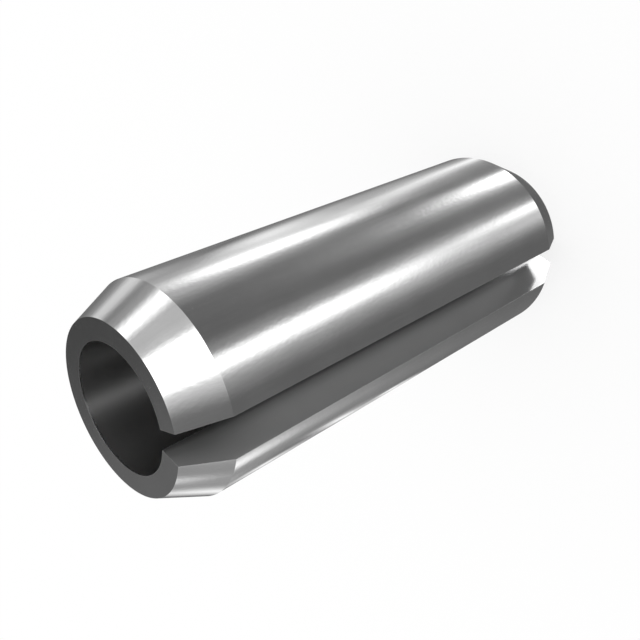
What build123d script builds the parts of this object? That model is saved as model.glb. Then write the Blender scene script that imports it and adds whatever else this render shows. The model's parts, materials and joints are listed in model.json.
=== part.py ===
from build123d import *
import os
from math import asin, degrees

# A slotted spring pin: one strip of spring steel rolled up into an open tube, with both ends drawn in to a
# cone so that the pin starts into its hole. It stands on one end face, with its axis along Z and the slot
# facing the front, towards -Y.

# Driving sizes, in millimetres and degrees.
outside_d = 10.5  # free diameter, before the pin is squeezed into a 10 mm hole
strip_thickness = 2.11  # wall of the tube
length = 28.0
chamfer_length = 2.21  # of each end's cone, along the axis
chamfer_angle = 25.0  # slope of the cone against the axis
slot_gap_bore = 1.0  # clear width between the strip's cut edges at the bore
slot_gap_outside = 2.14  # the same at the outside surface, wider because the cut edges lean
edge_break = 0.02  # radius that tumbling leaves on every cut edge

# The two surfaces of the strip, and half of the angle that the slot takes out of each.
outside_r = outside_d / 2
bore_r = outside_r - strip_thickness
slot_half_angle_outside = degrees(asin(slot_gap_outside / 2 / outside_r))
slot_half_angle_bore = degrees(asin(slot_gap_bore / 2 / bore_r))
slot_direction = -90.0
full_turn = 360.0


def strip_surface(radius, slot_half_angle):
    """An arc from one side of the slot round to the other."""
    start = slot_direction + slot_half_angle
    return CenterArc((0, 0), radius, start, full_turn - 2 * slot_half_angle)


with BuildPart() as spring_pin:
    # The strip's cross-section, rolled up, runs the whole length.
    with BuildSketch():
        with BuildLine():
            outside = strip_surface(outside_r, slot_half_angle_outside)
            inside = strip_surface(bore_r, slot_half_angle_bore)
            Line(outside @ 0, inside @ 0)
            Line(outside @ 1, inside @ 1)
        make_face()
    extrude(amount=length)

    # Both ends are drawn in to a cone.
    skin = spring_pin.faces().filter_by(GeomType.CYLINDER).sort_by(SortBy.RADIUS)[-1]
    rims = skin.edges().filter_by(GeomType.CIRCLE)
    chamfer(rims, length=chamfer_length, angle=chamfer_angle, reference=skin)

    # Every edge is a cut one except the two corners where a cone meets the round body.
    rolled_corners = spring_pin.edges().filter_by(GeomType.CIRCLE).group_by(SortBy.RADIUS)[-1]
    fillet(spring_pin.edges() - rolled_corners, radius=edge_break)

spring_pin.part.label = "spring_pin"
os.makedirs("parts", exist_ok=True)
export_step(spring_pin.part, "parts/spring_pin.step")
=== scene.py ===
import itertools
import json
from math import asin, atan2, cos, pi, radians, sin, tan

import bpy
from mathutils import Matrix, Vector


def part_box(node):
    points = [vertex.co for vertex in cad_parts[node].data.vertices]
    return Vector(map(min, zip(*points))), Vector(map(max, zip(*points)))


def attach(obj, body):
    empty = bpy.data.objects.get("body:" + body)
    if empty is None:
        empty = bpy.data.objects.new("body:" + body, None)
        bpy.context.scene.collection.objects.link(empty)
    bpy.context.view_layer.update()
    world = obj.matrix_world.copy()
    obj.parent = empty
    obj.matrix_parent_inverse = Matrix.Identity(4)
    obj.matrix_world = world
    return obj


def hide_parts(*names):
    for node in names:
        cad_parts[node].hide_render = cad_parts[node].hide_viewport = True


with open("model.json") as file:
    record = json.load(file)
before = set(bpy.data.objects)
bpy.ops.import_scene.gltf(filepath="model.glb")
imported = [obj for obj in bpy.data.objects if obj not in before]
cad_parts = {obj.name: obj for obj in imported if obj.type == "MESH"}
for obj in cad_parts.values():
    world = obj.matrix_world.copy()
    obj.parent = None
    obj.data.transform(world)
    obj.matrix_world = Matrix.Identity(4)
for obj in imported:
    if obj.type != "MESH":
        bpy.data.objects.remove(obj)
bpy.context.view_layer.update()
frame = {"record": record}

# A slotted spring pin that stands on its end on a white floor, seen by a camera that is rolled so that the
# pin lies across the picture as it does in the photograph. Lengths are in metres, unless a name says
# otherwise.

MM = 0.001


def mount(name):
    """One of the record's mounts, by name."""
    return next(m for m in frame["record"]["mounts"] if m["name"] == name)


# The pin's sizes. The frame gives those that it knows, and the others are the solid's own.
cone_angle = radians(25.0)
slot_gap_bore = 1.0 * MM
slot_gap_outside = 2.14 * MM
low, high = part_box("spring_pin")
outside_r = (high.x - low.x) / 2
bore_r = mount("bore")["dims"]["r_mm"] * MM
length = high.z - low.z
cone_length = (length - mount("body")["dims"]["length_mm"] * MM) / 2
cone_depth = cone_length * tan(cone_angle)
edge_break = (length - mount("bore")["dims"]["length_mm"] * MM) / 2

# The slot faces -Y. Its cut faces are planes that lean away from its middle plane.
slot_direction = -pi / 2
slot_angle_bore = asin(slot_gap_bore / 2 / bore_r)
slot_angle_outside = asin(slot_gap_outside / 2 / outside_r)
cut_lean = atan2(
    outside_r * sin(slot_angle_outside) - bore_r * sin(slot_angle_bore),
    outside_r * cos(slot_angle_outside) - bore_r * cos(slot_angle_bore),
)
cut_offset = bore_r * sin(slot_angle_bore - cut_lean)

# The flat strip that the pin is rolled from, as wide as the middle of the wall is round.
blank_width = pi * (bore_r + outside_r)
blank_thickness = outside_r - bore_r


class Graph:
    """A node tree, with a short call for some kinds of node used here."""

    def __init__(self, tree):
        self.nodes = tree.nodes
        self.links = tree.links

    def put(self, socket, value):
        """Links an output to the socket, or sets a plain value."""
        if isinstance(value, bpy.types.NodeSocket):
            self.links.new(value, socket)
        else:
            socket.default_value = value

    def math(self, operation, *values):
        """One operation, on outputs or plain values."""
        node = self.nodes.new("ShaderNodeMath")
        node.operation = operation
        for socket, value in zip(node.inputs, values):
            self.put(socket, value)
        return node.outputs[0]

    def product(self, factors):
        """The factors multiplied together, in their order."""
        total = factors[0]
        for factor in factors[1:]:
            total = self.math("MULTIPLY", total, factor)
        return total

    def noise(self, place, sizes, detail):
        """Soft noise of about 0.5, with bumps of those sizes along the three axes."""
        scaled = self.nodes.new("ShaderNodeVectorMath")
        scaled.operation = "MULTIPLY"
        self.put(scaled.inputs[0], place)
        self.put(scaled.inputs[1], [1 / size for size in sizes])
        node = self.nodes.new("ShaderNodeTexNoise")
        self.put(node.inputs["Vector"], scaled.outputs[0])
        node.inputs["Scale"].default_value = 1.0
        node.inputs["Detail"].default_value = detail
        return node.outputs["Fac"]

    def bump(self, height, distance, normal=None):
        """The given normal, or else the surface's own, tilted by a height of up to that distance."""
        node = self.nodes.new("ShaderNodeBump")
        node.inputs["Distance"].default_value = distance
        self.put(node.inputs["Height"], height)
        if normal:
            self.put(node.inputs["Normal"], normal)
        return node.outputs["Normal"]

    def ramp(self, value, from_low, from_high, to_low, to_high, smooth=False):
        """The value taken from one range to another, and held at its ends."""
        node = self.nodes.new("ShaderNodeMapRange")
        node.interpolation_type = "SMOOTHSTEP" if smooth else "LINEAR"
        for socket, number in zip(node.inputs, (value, from_low, from_high, to_low, to_high)):
            self.put(socket, number)
        return node.outputs["Result"]


# The finish of each kind of face. The grain is how far fine lines along the pin draw reflections out round
# it. Glancing is how much of its brightness the metal keeps where it is seen at a glancing angle, which is
# little in the bore, because the photograph's bore is dark at its sides. The tilts are how steeply the
# drawing lines and the mottle lean. The shade is how much the marks change the colour, and the spread is how
# much they change the roughness.
finishes = {
    "outside": {
        "base": 0.6, "metal": 1.0, "roughness": 0.13, "grain": 0.0, "glancing": 1.0,
        "line_tilt": 0.004, "mottle_tilt": 0.014, "shade": 0.03, "spread": 0.15,
    },
    "bore": {
        "base": 0.52, "metal": 0.98, "roughness": 0.285, "grain": 0.6, "glancing": 0.3,
        "line_tilt": 0.0, "mottle_tilt": 0.0, "shade": 0.003, "spread": 0.02,
    },
    "cut": {
        "base": 0.45, "metal": 0.7, "roughness": 0.15, "grain": 0.0, "glancing": 1.0,
        "line_tilt": 0.0, "mottle_tilt": 0.0, "shade": 0.02, "spread": 0.05,
    },
    "end": {
        "base": 0.6, "metal": 1.0, "roughness": 0.18, "grain": 0.0, "glancing": 1.0,
        "line_tilt": 0.002, "mottle_tilt": 0.002, "shade": 0.03, "spread": 0.15,
    },
}

# Sizes of the steel's marks. Drawing lines run along the pin, and grinding lines straight across its ends.
line_spacing = 0.09 * MM
line_run = 2.5 * MM
line_detail = 3.0
mottle_size = (0.16 * MM, 0.16 * MM, 0.26 * MM)
mottle_detail = 2.0
cloud_size = 2.6 * MM
cloud_detail = 3.0

# Most of a noise lies in the first span, and most of the sum of two of them in the second.
noise_span = (0.3, 0.7)
sum_span = (0.7, 1.3)

# Along its edges the steel is worn a little brighter and smoother, in a band of uneven width.
worn_width = 0.12 * MM
worn_unevenness = (0.6, 1.6)
worn_brightness = 1.05
worn_roughness = 0.8

# The slot's cut faces carry painted shade: their colour is darker in a narrow band along the bore, in a
# wide patch at the upper end and, a little, towards the outside, standing in for shade that the studio
# alone doesn't give them there. The patch fades out between its two distances from the upper end, and
# between its two depths from the bore.
painted_shade_band = 0.5 * MM
painted_shade_band_keeps = 0.5
painted_shade_patch_run = (1.0 * MM, 6.0 * MM)
painted_shade_patch_depth = (0.9 * MM, 2.0 * MM)
painted_shade_patch_takes = 0.33
outer_shade_from = 1.0 * MM
outer_shade_keeps = 0.8


def steel_marks(graph, face, place):
    """Three noises over the steel: its drawing or grinding lines, its mottle and its clouds."""
    if face == "end":
        line_place = graph.nodes.new("ShaderNodeTexCoord").outputs["Object"]
        line_size = (line_run, line_spacing, line_run)
    else:
        line_place = place
        line_size = (line_spacing, line_spacing, line_run)
    lines = graph.noise(line_place, line_size, line_detail)
    mottle = graph.noise(place, mottle_size, mottle_detail)
    cloud = graph.noise(place, (cloud_size, cloud_size, cloud_size), cloud_detail)
    return lines, mottle, cloud


def worn_edges(graph, axes, mottle):
    """How worn the steel is, from one at the strip's edges to nothing a little way in."""
    # The distance to the nearest edge of the strip is the middle one of those to its three pairs of sides.
    gaps = []
    for along, far_side in zip(axes, (blank_width, blank_thickness, length)):
        gaps.append(graph.math("MINIMUM", along, graph.math("SUBTRACT", far_side, along)))
    lesser = graph.math("MINIMUM", gaps[0], gaps[1])
    greater = graph.math("MAXIMUM", gaps[0], gaps[1])
    edge_gap = graph.math("MAXIMUM", lesser, graph.math("MINIMUM", greater, gaps[2]))
    uneven_gap = graph.math("MULTIPLY", edge_gap, graph.ramp(mottle, *noise_span, *worn_unevenness))
    return graph.ramp(uneven_gap, 0.0, worn_width, 1.0, 0.0, smooth=True)


def cut_face_painted_shade(graph, depth, rise):
    """How much colour a cut face keeps under its painted shade: in the band, to the outside and in the
    patch.
    """
    band = graph.ramp(depth, 0.0, painted_shade_band, painted_shade_band_keeps, 1.0, smooth=True)
    outer_shade = graph.ramp(depth, outer_shade_from, blank_thickness, 1.0, outer_shade_keeps)
    near, far = painted_shade_patch_run
    patch_up = graph.ramp(rise, length - far, length - near, 0.0, painted_shade_patch_takes, smooth=True)
    patch = graph.math("MULTIPLY", patch_up, graph.ramp(depth, *painted_shade_patch_depth, 1.0, 0.0))
    return [band, outer_shade, graph.math("SUBTRACT", 1.0, patch)]


def steel_colour(graph, face, axes, lines, cloud, worn):
    """The grey that the steel has at each point."""
    base, shade = finishes[face]["base"], finishes[face]["shade"]
    factors = [
        graph.ramp(cloud, *noise_span, base * (1 - shade), base * (1 + shade)),
        graph.ramp(lines, *noise_span, 1 - shade / 2, 1 + shade / 2),
        graph.ramp(worn, 0.0, 1.0, 1.0, worn_brightness),
    ]
    # The cut faces' colour carries painted shade along the bore, at the upper end and towards the outside.
    if face == "cut":
        factors += cut_face_painted_shade(graph, axes["Y"], axes["Z"])
    level = graph.product(factors)
    colour = graph.nodes.new("ShaderNodeCombineColor")
    for socket in colour.inputs:
        graph.put(socket, level)
    return colour.outputs[0]


def steel_roughness(graph, face, lines, mottle, cloud, worn):
    """The roughness that the steel has at each point."""
    rough, spread = finishes[face]["roughness"], finishes[face]["spread"]
    both = graph.math("ADD", mottle, lines)
    factors = [
        graph.ramp(both, *sum_span, rough * (1 - spread), rough * (1 + spread)),
        graph.ramp(cloud, *noise_span, 1 - spread / 2, 1 + spread / 2),
        graph.ramp(worn, 0.0, 1.0, 1.0, worn_roughness),
    ]
    return graph.product(factors)


def steel(face):
    """Bright tumbled spring steel, with the finish that one kind of face has."""
    finish = finishes[face]
    material = bpy.data.materials.new("spring_steel_" + face)
    material.use_nodes = True
    graph = Graph(material.node_tree)
    blank = graph.nodes.new("ShaderNodeAttribute")
    blank.attribute_name = "blank"
    place = blank.outputs["Vector"]
    split = graph.nodes.new("ShaderNodeSeparateXYZ")
    graph.put(split.inputs[0], place)
    axes = split.outputs
    lines, mottle, cloud = steel_marks(graph, face, place)
    worn = worn_edges(graph, axes, mottle)

    shader = graph.nodes["Principled BSDF"]
    graph.put(shader.inputs["Base Color"], steel_colour(graph, face, axes, lines, cloud, worn))
    graph.put(shader.inputs["Roughness"], steel_roughness(graph, face, lines, mottle, cloud, worn))
    mottled = graph.bump(mottle, mottle_size[0] * finish["mottle_tilt"])
    graph.put(shader.inputs["Normal"], graph.bump(lines, line_spacing * finish["line_tilt"], mottled))
    shader.inputs["Metallic"].default_value = finish["metal"]
    glancing = finish["glancing"]
    shader.inputs["Specular Tint"].default_value = (glancing, glancing, glancing, 1.0)
    if finish["grain"]:
        shader.inputs["Anisotropic"].default_value = finish["grain"]
        tangent = graph.nodes.new("ShaderNodeTangent")
        tangent.direction_type = "RADIAL"
        tangent.axis = "Z"
        graph.put(shader.inputs["Tangent"], tangent.outputs[0])
    return material


# How finely the strip's surface is divided.
steps_round = 384
steps_along_body = 28
steps_along_cone = 4
steps_through_wall = 6

# Its edges are broken a quarter as far as the solid's, because the photograph shows hardly any light line
# along them.
mesh_edge_break = edge_break / 4
mesh_edge_steps = 3
mesh_edge_angle = radians(40.0)
sharp_angle = radians(20.0)


def rows_along():
    """Heights of the mesh's rows, denser on the cones."""
    cone_rows = [cone_length * i / steps_along_cone for i in range(steps_along_cone)]
    body_length = length - 2 * cone_length
    body_rows = [cone_length + body_length * i / steps_along_body for i in range(steps_along_body + 1)]
    return cone_rows + body_rows + [length - z for z in reversed(cone_rows)]


def skin_radius(z):
    """Radius of the outside surface at that height: the round body, drawn in to a cone at each end."""
    into_cone = max(0.0, cone_length - min(z, length - z))
    return outside_r - cone_depth * into_cone / cone_length


def strip_point(turn, depth, z):
    """A point of the rolled strip. turn runs from cut edge to cut edge, and depth from bore to outside."""
    radius = bore_r + (skin_radius(z) - bore_r) * depth
    slot_angle = cut_lean + asin(cut_offset / radius)
    angle = slot_direction + slot_angle + (2 * pi - 2 * slot_angle) * turn
    return Vector((radius * cos(angle), radius * sin(angle), low.z + z))


def lattice_faces(counts):
    """Each kind of face with its quads, over the skin of a block with that many points along its axes."""
    sides = (("cut", "cut"), ("bore", "outside"), ("end", "end"))
    for axis in range(3):
        u, v = (axis + 1) % 3, (axis + 2) % 3
        for kind, side in zip(sides[axis], (0, counts[axis] - 1)):
            for i, j in itertools.product(range(counts[u] - 1), range(counts[v] - 1)):
                quad = []
                for di, dj in ((0, 0), (1, 0), (1, 1), (0, 1)):
                    point = [0, 0, 0]
                    point[axis], point[u], point[v] = side, i + di, j + dj
                    quad.append(tuple(point))
                yield kind, quad if side else quad[::-1]


def make_pin():
    """The strip as one mesh, which keeps the place that each of its points had in the flat blank."""
    rows = rows_along()
    counts = (steps_round + 1, steps_through_wall + 1, len(rows))
    index, points, blank, faces, face_materials = {}, [], [], [], []
    face_kinds = list(finishes)
    for kind, quad in lattice_faces(counts):
        for key in quad:
            if key not in index:
                turn, depth = key[0] / steps_round, key[1] / steps_through_wall
                z = rows[key[2]]
                index[key] = len(points)
                points.append(strip_point(turn, depth, z))
                blank.append((blank_width * turn, blank_thickness * depth, z))
        faces.append([index[key] for key in quad])
        face_materials.append(face_kinds.index(kind))
    mesh = bpy.data.meshes.new("pin_strip")
    mesh.from_pydata(points, [], faces)
    place = mesh.attributes.new("blank", "FLOAT_VECTOR", "POINT")
    for i, value in enumerate(blank):
        place.data[i].vector = value
    for kind in face_kinds:
        mesh.materials.append(steel(kind))
    mesh.polygons.foreach_set("material_index", face_materials)
    mesh.polygons.foreach_set("use_smooth", [True] * len(mesh.polygons))
    mesh.set_sharp_from_angle(angle=sharp_angle)
    mesh.update()
    pin = bpy.data.objects.new("pin_strip", mesh)
    bpy.context.scene.collection.objects.link(pin)
    bevel = pin.modifiers.new("edge_break", "BEVEL")
    bevel.width = mesh_edge_break
    bevel.segments = mesh_edge_steps
    bevel.limit_method = "ANGLE"
    bevel.angle_limit = mesh_edge_angle
    bevel.harden_normals = True
    return pin


pin = make_pin()
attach(pin, "root")
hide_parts("spring_pin")


# The studio, as the metal sees it: soft panels that stand round the pin and lean. Azimuth is in degrees
# round the pin, from the slot's side towards +X, and elevation in degrees above the floor. A level is the
# strength that a panel adds to the background's, and a panel with a level below zero is a dark card. What is
# matt sees an even white instead.
even_level = 1.0
background_level = 0.18
panels = [
    # name, foot (azimuth, elevation), head (azimuth, elevation), width, softness, level
    ("key", (40, -46), (30, -12), 14, 14, 2.1),
    ("key_glow", (38, -60), (17, 0), 28, 40, 0.5),
    ("key_edge", (28, -46), (18, -12), 4, 12, 0.2),
    ("key_side", (54, -54), (46, -42), 12, 12, 0.2),
    ("key_shade", (58, -56), (52, -26), 10, 12, 0.12),
    ("key_foot", (55, -67), (46, -52.5), 11, 10, 2.4),
    ("key_knee", (51, -54), (46, -48), 8, 6, 0.25),
    ("key_foot_side", (24, -60), (24, -50), 14, 8, 0.12),
    ("key_low_side", (28, -48), (26, -43), 18, 6, 0.16),
    ("key_foot_glow", (34, -66), (34, -53), 16, 14, 0.6),
    ("key_join", (31, -8), (42, 2), 16, 12, 1.8),
    ("key_top", (46, 4), (62, 48), 47, 13, 2.0),
    ("top_glow", (61, 0), (61, 50), 102, 26, 0.55),
    ("top_edge", (19, 6), (23, 36), 8, 12, 0.14),
    ("top_side", (83, 10), (84, 30), 4, 8, 0.1),
    ("top_fill", (0, 16), (0, 60), 120, 16, 0.08),
    ("gap_glow", (70, -66), (74, -38), 44, 30, 0.05),
    ("gap_low", (69, -56), (69, -50), 14, 8, 0.07),
    ("gap_middle", (98, -48), (98, -45), 18, 6, 0.07),
    ("gap_top", (136, -4), (131, 12), 15, 14, 0.28),
    ("foot", (103, -72), (103, -52), 19, 12, 3.0),
    ("foot_core", (106, -72), (106, -53.2), 9, 4, 3.4),
    ("foot_side", (88, -56), (88, -50), 8, 6, 0.15),
    ("foot_glow", (94, -66), (98, -45), 31, 22, 0.24),
    ("low_glow", (130, -70), (130, -36), 90, 30, 0.1),
    ("rim", (133, -42), (134.5, -32), 14.5, 12, 2.3),
    ("rim_glow", (140, -46), (126, -24), 38, 26, 0.42),
    ("rim_side", (121, -41), (119, -28), 6, 8, 0.12),
    ("rim_foot", (140, -48), (137, -45), 9, 6, 0.2),
    ("rim_low", (120, -60), (120, -53), 8, 6, 0.12),
    ("rim_low_shade", (122, -49), (119, -43), 8, 6, -0.07),
    ("rim_join", (130, -17), (125, -7), 13, 12, 1.6),
    ("rim_top", (123.3, -2), (111.3, 22), 13.5, 12, 2.0),
    ("low_shade", (144, -58), (144, -52.5), 12, 5, -0.1),
    ("side", (160, -40), (159, -35), 28, 10, 0.52),
    ("side_core", (161, -39.5), (161, -34.5), 12, 6, 0.35),
    ("side_flag", (171, -34), (163, -32), 20, 6, -0.2),
    ("side_flag_rear", (178, -35), (174, -29), 16, 8, -0.12),
    ("side_head", (166, -28), (164, -22), 16, 8, 0.35),
    ("side_low", (153, -50), (146, -44), 14, 8, 0.48),
    ("side_foot", (164, -64), (161, -50), 12, 12, 1.15),
    ("side_top", (161, -12), (157, 5), 17, 12, 0.6),
    ("side_glow", (162, -60), (158, 0), 38, 24, 0.28),
    ("back", (-118, -32), (-117, -29), 12, 8, 1.45),
    ("back_low", (-119, -41.5), (-117, -39.5), 9, 4, 1.6),
    ("back_side", (-120, -39), (-119, -35), 6, 4, 0.3),
    ("back_shade", (-96, -36), (-96, -33), 12, 6, -0.06),
    ("back_streak", (-116, -37.6), (-111, -35.4), 14, 4, 1.2),
    ("back_tail", (-105, -38), (-103, -35), 8, 6, 0.4),
    ("back_top", (-112, -22), (-105, -8), 13, 14, 1.2),
    ("back_top_shade", (-114, -18), (-110, -11), 5, 5, -0.2),
    ("back_head", (-103, -28), (-103, -22), 14, 8, 0.4),
    ("back_fill", (-175, -56), (-175, -4), 24, 20, 0.05),
    ("cone_fill", (-98, -12), (-74, 1), 20, 12, 0.1),
    ("spot", (-76, -31), (-77, -25), 13, 9, 1.4),
    ("spot_glow", (-75, -38.5), (-74, -31), 20, 8, 0.16),
    ("spot_top", (-83, -2), (-73.5, 9), 9, 5, 0.5),
    ("spot_shade", (-73, -4), (-69, 4), 8, 5, -0.07),
    ("spot_under", (-90, -7), (-78, -2), 8, 5, -0.1),
    ("cone_edge", (-59.5, 0), (-56.5, 8), 5, 4, 0.2),
    ("left_glow", (-82, -40), (-72, 15), 42, 30, 0.27),
    ("left", (-44, -62), (-40, -8), 10, 14, 1.1),
    ("rear", (-146, -54), (-142, -10), 12, 14, 0.8),
    ("front_fill", (-10, -18), (-10, -8), 90, 20, 0.2),
    ("right_fill", (84, -18), (84, -8), 70, 20, 0.2),
    ("sky_rear", (178, 40), (178, 60), 44, 16, 0.5),
    ("sky_left", (-64, 38), (-64, 60), 40, 16, 0.9),
    ("zenith", (0, 80), (0, 100), 400, 14, 0.5),
    ("end_flag", (-158, 14), (-158, 40), 30, 13, -0.095),
    ("low_flag", (-143, -84), (-143, -60), 40, 20, -0.04),
]


def make_world():
    """The studio for glossy rays, and an even white for all others."""
    world = bpy.data.worlds.new("studio")
    bpy.context.scene.world = world
    world.use_nodes = True
    world.cycles.sampling_method = "NONE"
    graph = Graph(world.node_tree)
    where = graph.nodes.new("ShaderNodeSeparateXYZ")
    graph.put(where.inputs[0], graph.nodes.new("ShaderNodeTexCoord").outputs["Generated"])
    x, y, z = where.outputs
    azimuth = graph.math("DEGREES", graph.math("ARCTAN2", x, graph.math("MULTIPLY", y, -1)))
    elevation = graph.math("DEGREES", graph.math("ARCSINE", z))

    def soft_edge(distance, half, softness):
        """Falls from one to nothing over the soft edge at a panel's half width or height."""
        return graph.ramp(distance, half - softness / 2, half + softness / 2, 1, 0, smooth=True)

    # Each panel's last node is labelled with the panel's name.
    total = background_level
    for name, foot, head, width, softness, level in panels:
        lean = (head[0] - foot[0]) / (head[1] - foot[1])
        up = graph.math("SUBTRACT", elevation, (foot[1] + head[1]) / 2)
        middle = graph.math("MULTIPLY_ADD", up, lean, (foot[0] + head[0]) / 2)
        across = graph.math("WRAP", graph.math("SUBTRACT", azimuth, middle), 180, -180)
        side = soft_edge(graph.math("ABSOLUTE", across), width / 2, softness)
        height = soft_edge(graph.math("ABSOLUTE", up), (head[1] - foot[1]) / 2, softness)
        total = graph.math("MULTIPLY_ADD", graph.math("MULTIPLY", side, height), level, total)
        total.node.label = name
    path = graph.nodes.new("ShaderNodeLightPath")
    mix = graph.nodes.new("ShaderNodeMix")
    graph.put(mix.inputs["Factor"], path.outputs["Is Glossy Ray"])
    mix.inputs["A"].default_value = even_level
    graph.put(mix.inputs["B"], total)
    shader = graph.nodes["Background"]
    shader.inputs["Color"].default_value = (1, 1, 1, 1)
    graph.put(shader.inputs["Strength"], mix.outputs[0])


# The floor, and how much of what the camera sees of it is plain white.
floor_half = 1.5
floor_whiteness = 0.8


def make_floor():
    """A white floor that keeps the pin's shadow."""
    corners = [(x * floor_half, y * floor_half, 0) for x, y in ((-1, -1), (1, -1), (1, 1), (-1, 1))]
    mesh = bpy.data.meshes.new("floor")
    mesh.from_pydata(corners, [], [(0, 1, 2, 3)])
    floor = bpy.data.objects.new("floor", mesh)
    bpy.context.scene.collection.objects.link(floor)
    floor.location.z = low.z
    material = bpy.data.materials.new("white_floor")
    material.use_nodes = True
    graph = Graph(material.node_tree)
    shader = graph.nodes["Principled BSDF"]
    shader.inputs["Base Color"].default_value = (1, 1, 1, 1)
    shader.inputs["Roughness"].default_value = 1.0
    shader.inputs["Specular IOR Level"].default_value = 0.0
    # Part of what the camera sees is plain white, and the rest is lit like any floor, with the pin's shadow.
    white = graph.nodes.new("ShaderNodeEmission")
    path = graph.nodes.new("ShaderNodeLightPath")
    mix = graph.nodes.new("ShaderNodeMixShader")
    graph.put(mix.inputs[0], graph.math("MULTIPLY", path.outputs["Is Camera Ray"], floor_whiteness))
    graph.put(mix.inputs[1], shader.outputs[0])
    graph.put(mix.inputs[2], white.outputs[0])
    graph.put(graph.nodes["Material Output"].inputs["Surface"], mix.outputs[0])
    mesh.materials.append(material)
    # The metal doesn't show the floor, because the photograph's metal shows a dark studio below the pin too.
    floor.visible_glossy = False


make_world()
make_floor()

# The camera, where the photograph was taken from.
focal_length_px = 838.7
picture_px = 640
sensor_mm = 36.0
camera_place = Vector((20.514, -27.243, 42.976)) * MM
camera_right = Vector((-0.00078, -0.70697, -0.70725))
camera_up = Vector((0.87947, 0.33613, -0.33697))


def make_camera():
    """The camera, turned so that its right and its up lie as the photograph gave them."""
    data = bpy.data.cameras.new("camera")
    data.sensor_width = sensor_mm
    data.lens = focal_length_px * sensor_mm / picture_px
    data.clip_start = 0.001
    data.clip_end = 10.0
    camera = bpy.data.objects.new("camera", data)
    bpy.context.scene.collection.objects.link(camera)
    right = camera_right.normalized()
    back = right.cross(camera_up).normalized()
    up = back.cross(right)
    turn = Matrix((right, up, back)).transposed().to_4x4()
    camera.matrix_world = Matrix.Translation(camera_place) @ turn
    bpy.context.scene.camera = camera


make_camera()
bpy.context.scene.view_settings.view_transform = "Standard"
